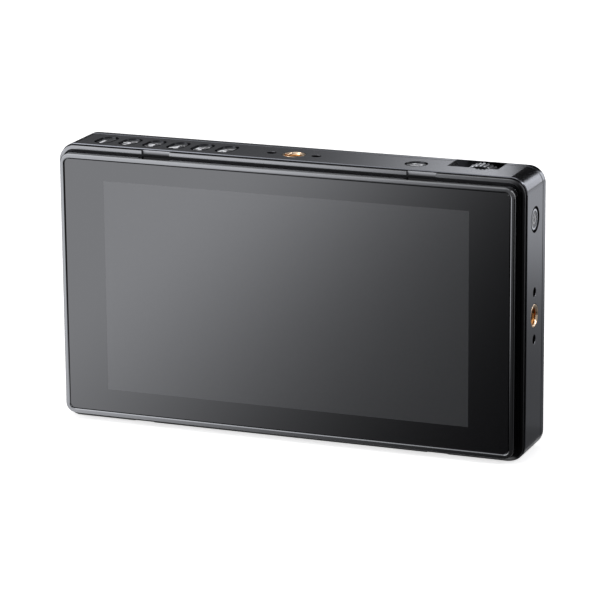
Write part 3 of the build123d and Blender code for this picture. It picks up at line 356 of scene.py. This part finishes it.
def piece(name, verts, faces, material, body):
    """A mesh piece in metres that rides on a body."""
    mesh = bpy.data.meshes.new(name)
    mesh.from_pydata(verts, [], faces)
    mesh.validate()
    work = bmesh.new()
    work.from_mesh(mesh)
    bmesh.ops.recalc_face_normals(work, faces=work.faces)
    for face in work.faces:
        face.smooth = False
    work.to_mesh(mesh)
    work.free()
    mesh.materials.append(material)
    made = bpy.data.objects.new(name, mesh)
    bpy.context.scene.collection.objects.link(made)
    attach(made, body)
    return made


def facing(origin, along, out):
    """Place whose +X is along and whose +Z is out."""
    out = Vector(out)
    along = Vector(along)
    side = out.cross(along)
    return Matrix.Translation(origin) @ Matrix((along, side, out)).transposed().to_4x4()


def face_middle(node, out):
    """The middle of a node's box, moved to the face of the box that out points at."""
    low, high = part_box(node)
    return Vector([(high if d > 0 else low)[i] if d else (low[i] + high[i]) / 2 for i, d in enumerate(out)])


# printed strokes: their points, widths and radii are in millimetres, in the plane of a place

mark_lift = 0.02 * MM  # thickness of a printed stroke
gap_lift = 0.01 * MM


def ribbon(points, width, closed):
    """Left and right outline of a flat stroke of that width through points in the plane."""
    left, right = [], []
    count = len(points)
    for i, (x, y) in enumerate(points):
        before = points[i - 1] if i or closed else points[i]
        after = points[(i + 1) % count] if i + 1 < count or closed else points[i]
        way = Vector((after[0] - before[0], after[1] - before[1])).normalized()
        left.append((x - way.y * width / 2, y + way.x * width / 2))
        right.append((x + way.y * width / 2, y - way.x * width / 2))
    return left, right


def strokes(name, lines, place, width, material, body, lift=mark_lift):
    """A piece of printed strokes on the plane of place, each its points and whether they close to a ring."""
    verts, faces = [], []
    for points, closed in lines:
        points = [(x * MM, y * MM) for x, y in points]
        left, right = ribbon(points, width * MM, closed)
        start = len(verts)
        count = len(points)
        for (lx, ly), (rx, ry) in zip(left, right):
            for z in (0.0, lift):
                verts.append(place @ Vector((lx, ly, z)))
                verts.append(place @ Vector((rx, ry, z)))
        for i in range(count if closed else count - 1):
            a, b = start + 4 * i, start + 4 * ((i + 1) % count)
            faces += [(a + 2, a + 3, b + 3, b + 2), (a, b, b + 1, a + 1)]
            faces += [(a, a + 2, b + 2, b), (a + 1, b + 1, b + 3, a + 3)]
        if not closed:
            a, b = start, start + 4 * (count - 1)
            faces += [(a, a + 1, a + 3, a + 2), (b, b + 2, b + 3, b + 1)]
    piece(name, verts, faces, material, body)


def arc(x, y, radius, start, end, count=14):
    """Points of an arc, angles in degrees."""
    angles = [math.radians(start + (end - start) * i / count) for i in range(count + 1)]
    return [(x + radius * math.cos(t), y + radius * math.sin(t)) for t in angles]


def ring(radius, count=32):
    """The one closed stroke of a circle about the origin."""
    return [(arc(0, 0, radius, 0, 360 - 360 / count, count - 1), True)]


# plain numbers 1 to 6 printed on the front half of the shortcut keys, each but the first with a small sign
# behind it
digit_height = 4.2 * MM
digit_share = 0.7  # a digit's height as a share of the font's size
digit_weight = 0.2 * MM  # by which the outline is fattened
digit_lift = 0.01 * MM
digit_spot = Vector((-0.75, -1.9, 0)) * MM
sign_spot = Vector((0.85, 1.3, 0)) * MM
sign_width = 0.5
ring_sign = ring(0.85, 16)
wave_sign = [([(-1.2, -0.5), (-0.7, 0.5), (-0.2, -0.5), (0.3, 0.5), (0.8, -0.5), (1.2, 0.4)], False)]
bar_sign = [([(-1.1, 0.45), (0.9, 0.45)], False), ([(-0.9, -0.45), (1.1, -0.45)], False)]
signs = {2: ring_sign, 3: wave_sign, 4: wave_sign, 5: ring_sign, 6: bar_sign}


def digit(number, spot):
    """The number as a raised print over spot."""
    words = bpy.data.curves.new(f"digit_{number}", "FONT")
    words.body = str(number)
    words.size = digit_height / digit_share
    words.align_x = "CENTER"
    words.align_y = "CENTER"
    words.offset = digit_weight
    words.extrude = digit_lift
    words.resolution_u = 3
    words.materials.append(mark_white)
    shaped = bpy.data.objects.new(f"digit_{number}", words)
    bpy.context.scene.collection.objects.link(shaped)
    shaped.location = spot + Vector((0, 0, digit_lift))
    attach(shaped, f"key_{number}")


for number in range(1, 7):
    middle = face_middle(f"function_key_{number}", (0, 0, 1))
    digit(number, middle + digit_spot)
    if number in signs:
        strokes(f"sign_{number}", signs[number], Matrix.Translation(middle + sign_spot), sign_width,
                mark_grey, f"key_{number}")

# painted shade: black strokes on the housing round the keys, for the shadow in their gaps: ovals that lean
# with the shortcut keys, and circles
oval_lean = math.radians(5.0)
oval_radius = 2.72
oval_shift = 2.06  # from the key's middle to the centre of either round end
oval_width = 0.42
return_gap_radius = 3.5
return_gap_width = 0.34
power_gap_radius = 3.9
power_gap_width = 0.5
oval = [(x, y + oval_shift) for x, y in arc(0, 0, oval_radius, 0, 180)]
oval += [(x, y - oval_shift) for x, y in arc(0, 0, oval_radius, 180, 360)]


def key_gap(name, lines, place, width):
    """Black stroke on the housing round a key: painted shade for the shadow in its gap."""
    strokes(name, lines, place, width, gap_shade_black, "casing", gap_lift)


def on_case_top(key):
    """The place in the housing's top face in the middle of a key."""
    middle = face_middle(key, (0, 0, 1))
    return Matrix.Translation(Vector((middle.x, middle.y, case_top)))


for number in range(1, 7):
    key_gap(f"key_gap_{number}", [(oval, True)],
            on_case_top(f"function_key_{number}") @ Matrix.Rotation(-oval_lean, 4, "Z"), oval_width)
key_gap("return_gap", ring(return_gap_radius), on_case_top("return_key"), return_gap_width)
power_top = face_middle("power_key", (1, 0, 0))
power_foot = Vector((case_right, power_top.y, power_top.z))
key_gap("power_gap", ring(power_gap_radius), facing(power_foot, (0, 1, 0), (1, 0, 0)), power_gap_width)

# bent arrow on the return key
arrow_width = 0.45
bend = [(-1.6, -0.9)] + arc(0.7, 0.15, 1.05, -90, 90, 8) + [(-1.5, 1.2)]
head = [(-0.7, 2.0), (-1.6, 1.2), (-0.7, 0.4)]
return_top = face_middle("return_key", (0, 0, 1))
strokes("return_arrow", [(bend, False), (head, False)], Matrix.Translation(return_top), arrow_width,
        mark_white, "return_key")

# bright turned ring round the power key, with the usual sign inside it
power_ring_radius = 2.95
power_ring_width = 0.5
power_ring_lift = 0.12 * MM
power_sign_width = 0.36
power_sign = [(arc(0, 0, 1.25, 125, 415), False), ([(0, 0.35), (0, 1.75)], False)]
power_place = facing(power_top, (0, 1, 0), (1, 0, 0))
strokes("power_ring", ring(power_ring_radius), power_place, power_ring_width, bevel_metal, "power_key",
        power_ring_lift)
strokes("power_sign", power_sign, power_place, power_sign_width, mark_grey, "power_key")


# turned pieces: rows of points round the axis of a place, joined to a closed ring surface

def turned(place, radii, z):
    """One row of points at height z, with that radius for each."""
    angles = [2 * math.pi * i / len(radii) for i in range(len(radii))]
    return [place @ Vector((r * math.cos(t), r * math.sin(t), z)) for r, t in zip(radii, angles)]


def joined(rows, sides, start=0):
    """Faces between rows of points that begin at start, with the last row joined to the first."""
    faces = []
    for row in range(rows):
        a = start + row * sides
        b = start + (row + 1) % rows * sides
        for i in range(sides):
            j = (i + 1) % sides
            faces.append((a + i, a + j, b + j, b + i))
    return faces


# brass inserts with their threads cut
insert_radius = 3.8 * MM
insert_length = 7.0 * MM
insert_chamfer = 0.25 * MM
mouth_radius = 3.3 * MM
thread_small = 2.6 * MM
thread_large = 3.17 * MM
thread_pitch = 1.27 * MM
thread_sides = 40
turn_rows = 8  # rows of faces to each turn of the thread
thread_rows = int(insert_length / thread_pitch * turn_rows)


def thread_radius(depth, angle):
    """Radius of the bore at that depth and angle: a sharp helix that fades into the countersunk mouth."""
    phase = (depth / thread_pitch - angle / (2 * math.pi)) % 1.0
    cut = thread_small + (thread_large - thread_small) * abs(2 * phase - 1)
    return max(cut, mouth_radius - depth)


def insert(name, node, place):
    """Threaded brass insert whose mouth lies in the plane of place, in place of the plain CAD one."""
    rings = ((insert_radius, -insert_length), (insert_radius, -insert_chamfer),
             (insert_radius - insert_chamfer, 0.0))
    verts = []
    for radius, z in rings:
        verts += turned(place, [radius] * thread_sides, z)
    for row in range(thread_rows + 1):
        depth = insert_length * row / thread_rows
        radii = [thread_radius(depth, 2 * math.pi * i / thread_sides) for i in range(thread_sides)]
        verts += turned(place, radii, -depth)
    faces = joined(len(rings) + thread_rows + 1, thread_sides)
    made = piece(name, verts, faces, brass, "casing")
    made.data.materials.append(brass_mouth_highlight)
    # the pale brass copy paints a highlight on the rows of the mouth
    mouth_rows = len(rings) + int((mouth_radius - thread_small) / insert_length * thread_rows)
    for number, face in enumerate(made.data.polygons):
        if thread_sides <= number < mouth_rows * thread_sides:
            face.material_index = 1
    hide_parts(node)


# countersunk lips of the anti-twist pin holes at both sides of each insert
pin_radius = 1.6 * MM
pin_spacing = 15.0 * MM
lip_chamfer = 0.1 * MM
lip_depth = 0.4 * MM
lip_sink = 0.02 * MM  # by which the lip's outside lies in the hole's wall
lip_drop = 0.005 * MM  # by which its top edge lies under the face
lip_sides = 24


def pin_hole_lips(name, mouth, along, out):
    """The lips of two pin holes, set along from the insert's mouth, that open in the direction out."""
    outline = ((pin_radius + lip_sink, -lip_drop), (pin_radius - lip_chamfer, -lip_chamfer),
               (pin_radius - lip_chamfer, -lip_depth), (pin_radius + lip_sink, -lip_depth))
    verts, faces = [], []
    for side in (-1, 1):
        place = facing(mouth + Vector(along) * side * pin_spacing / 2, along, out)
        faces += joined(len(outline), lip_sides, len(verts))
        for radius, z in outline:
            verts += turned(place, [radius] * lip_sides, z)
    piece(name, verts, faces, casing_metal, "casing")


for where, along, out in (("top", (1, 0, 0), (0, 0, 1)), ("side", (0, 0, 1), (1, 0, 0)),
                          ("bottom", (1, 0, 0), (0, 0, -1))):
    mouth = face_middle(f"{where}_thread_insert", out)
    insert(f"{where}_insert_threads", f"{where}_thread_insert", facing(mouth, along, out))
    pin_hole_lips(f"{where}_pin_hole_lips", mouth, along, out)


# ---------------------------------------------------------------- stage: floor, backdrop, cards, lamps

def sheet(name, left, right, first, last):
    """A flat stage piece from x left to x right, between two edges of that y and z."""
    mesh = bpy.data.meshes.new(name)
    mesh.from_pydata([(left, *first), (right, *first), (right, *last), (left, *last)], [], [(0, 1, 2, 3)])
    made = bpy.data.objects.new(name, mesh)
    bpy.context.scene.collection.objects.link(made)
    return made


# the floor is matt white, and whiter still to the camera, so that it keeps only a faint shadow
floor_reach = 3.0
floor_glow = 0.7
floor = sheet("floor", -floor_reach, floor_reach, (-floor_reach, 0), (floor_reach, 0))
floor_paint, floor_tree, floor_surface, _ = shader("floor_paint")
floor_surface.inputs["Base Color"].default_value = (0.9, 0.9, 0.9, 1.0)
floor_surface.inputs["Roughness"].default_value = 0.9
floor_surface.inputs["Specular IOR Level"].default_value = 0.0
floor_surface.inputs["Emission Color"].default_value = (1, 1, 1, 1)
floor_rays = floor_tree.nodes.new("ShaderNodeLightPath")
floor_tree.links.new(remap(floor_tree, floor_rays.outputs["Is Camera Ray"], 0.0, floor_glow, 0.0, 1.0),
                     floor_surface.inputs["Emission Strength"])
floor.data.materials.append(floor_paint)

# the backdrop is white to the camera and a dim grey to all else
world = bpy.data.worlds.new("studio")
bpy.context.scene.world = world
world.use_nodes = True
sky = world.node_tree
sky_rays = sky.nodes.new("ShaderNodeLightPath")
studio_grey = sky.nodes["Background"]
studio_grey.inputs["Color"].default_value = (0.35, 0.35, 0.36, 1.0)
camera_white = sky.nodes.new("ShaderNodeBackground")
camera_white.inputs["Color"].default_value = (1, 1, 1, 1)
blend = sky.nodes.new("ShaderNodeMixShader")
sky.links.new(sky_rays.outputs["Is Camera Ray"], blend.inputs["Fac"])
sky.links.new(studio_grey.outputs["Background"], blend.inputs[1])
sky.links.new(camera_white.outputs["Background"], blend.inputs[2])
sky.links.new(blend.outputs["Shader"], sky.nodes["World Output"].inputs["Surface"])

card_tint = (0.972, 0.988, 1.04)  # the studio's cards are slightly cool
fall_reach = 4.0  # softnesses past the edge at which a card's light has ended


def reflector(card, bright, dim, heading=(1, 0, 0), edge=0.0, softness=1.0):
    """Make a sheet a studio card that only polished and satin surfaces mirror. It is bright up to the line at
    distance edge along heading, and falls off softly past it to dim."""
    card.visible_camera = False
    card.visible_diffuse = False
    card.visible_transmission = False
    card.visible_shadow = False
    glow, tree, surface, place = shader(card.name + "_glow")
    surface.inputs["Base Color"].default_value = (0, 0, 0, 1)
    surface.inputs["Specular IOR Level"].default_value = 0.0
    surface.inputs["Emission Color"].default_value = (*card_tint, 1)
    along = vector_calc(tree, "DOT_PRODUCT", place, Vector(heading).normalized())
    over = remap(tree, along.outputs["Value"], 0.0, fall_reach, edge, edge + fall_reach * softness)
    fall = calc(tree, "POWER", math.e, calc(tree, "MULTIPLY", calc(tree, "MULTIPLY", over, over), -1.0))
    level = calc(tree, "ADD", calc(tree, "MULTIPLY", fall, bright - dim), dim)
    tree.links.new(level, surface.inputs["Emission Strength"])
    card.data.materials.append(glow)


lying = 0.001  # height of the cards that lie on the floor
behind = 0.25  # y of the cards that stand behind the object
ahead = -0.62  # y of the cards that stand in front of it

# in the glass: a card on the floor in front, bright at the left and falling off to the right
reflector(sheet("front_card", -0.62, 0.6, (ahead, lying), (-0.012, lying)), 2.25, 0.03,
          heading=(0.987, -0.158, 0), edge=-0.112, softness=0.088)
# in the top face: a card standing behind, dark at the left and bright at the right
reflector(sheet("rear_card", -0.45, -0.015, (behind, 0.137), (behind, 0.3)), 1.35, 0.155,
          heading=(-1, 0, 0), edge=0.0, softness=0.053)
# below that card a black flag, which darkens the rounded rear edge
reflector(sheet("rear_flag", -0.45, 0.0, (behind, lying), (behind, 0.135)), 0.03, 0.03)
# over the rounded corner: a black flag beside that card, then a bright card
reflector(sheet("corner_flag", -0.014, 0.14, (behind, 0.137), (behind, 0.4)), 1.3, 0.02,
          edge=-0.014, softness=0.005)
reflector(sheet("corner_card", 0.142, 0.28, (behind, 0.07), (behind, 0.3)), 2.4, 0.95,
          edge=0.15, softness=0.032)
# in the rounded edges of the frame: a wall of light in front, at the left, and a slanting one over it
reflector(sheet("front_wall", -0.75, 0.2, (ahead, lying), (ahead, 0.55)), 2.6, 0.5,
          edge=-0.27, softness=0.1)
reflector(sheet("front_canopy", -0.75, 0.2, (ahead, 0.56), (-0.05, 1.0)), 3.0, 1.15,
          edge=-0.42, softness=0.06)
# a small card overhead at the right: the spark on the bead's corner
reflector(sheet("spark_card", 0.38, 0.56, (-0.27, 0.52), (0.03, 0.52)), 6.0, 6.0)
# in the right face: a card on the floor behind, bright far away and darker near the object
reflector(sheet("side_card", 0.079, 0.6, (0.02, lying), (0.7, lying)), 0.83, 0.165,
          heading=(-0.38, -0.92, 0), edge=-0.36, softness=0.118)
# in its rounded lower edge: a dark flag on the floor beside the object
reflector(sheet("foot_flag", 0.0785, 0.3, (-0.02, lying), (0.026, lying)), 0.12, 0.12)


def softbox(name, place, width, height, power):
    """Soft rectangular lamp at place, facing the middle of the object."""
    lamp = bpy.data.lights.new(name, "AREA")
    lamp.shape = "RECTANGLE"
    lamp.size = width
    lamp.size_y = height
    lamp.energy = power
    made = bpy.data.objects.new(name, lamp)
    bpy.context.scene.collection.objects.link(made)
    made.location = place
    made.rotation_euler = (lamp_aim - Vector(place)).to_track_quat("-Z", "Y").to_euler()


lamp_aim = Vector((0, 0, 0.04))
softbox("top_lamp", (-0.3, -0.25, 1.1), 1.0, 0.8, 4.0)
softbox("left_lamp", (-1.1, -0.9, 0.6), 0.8, 0.8, 6.0)
softbox("right_lamp", (1.1, 0.5, 0.5), 0.6, 0.8, 4.0)

# ---------------------------------------------------------------- camera

camera_turn = math.radians(21.605)
camera_lift = math.radians(14.942)
camera_roll = math.radians(-0.482)
camera_place = Vector((382.84, -965.27, 320.12)) * MM
camera_focal = 3403.84  # pixels
image_width = 600.0  # pixels
sensor_width = 36.0  # millimetres

back = Vector((math.sin(camera_turn) * math.cos(camera_lift), -math.cos(camera_turn) * math.cos(camera_lift),
               math.sin(camera_lift)))
level_right = Vector((math.cos(camera_turn), math.sin(camera_turn), 0))
level_up = back.cross(level_right)
right = level_right * math.cos(camera_roll) + level_up * math.sin(camera_roll)
up = level_up * math.cos(camera_roll) - level_right * math.sin(camera_roll)
camera_data = bpy.data.cameras.new("camera")
camera_data.sensor_width = sensor_width
camera_data.lens = camera_focal / image_width * sensor_width
camera_data.clip_start = 0.01
camera = bpy.data.objects.new("camera", camera_data)
camera.matrix_world = Matrix.Translation(camera_place) @ Matrix((right, up, back)).transposed().to_4x4()
bpy.context.scene.collection.objects.link(camera)
bpy.context.scene.camera = camera
bpy.context.scene.view_settings.view_transform = "Standard"
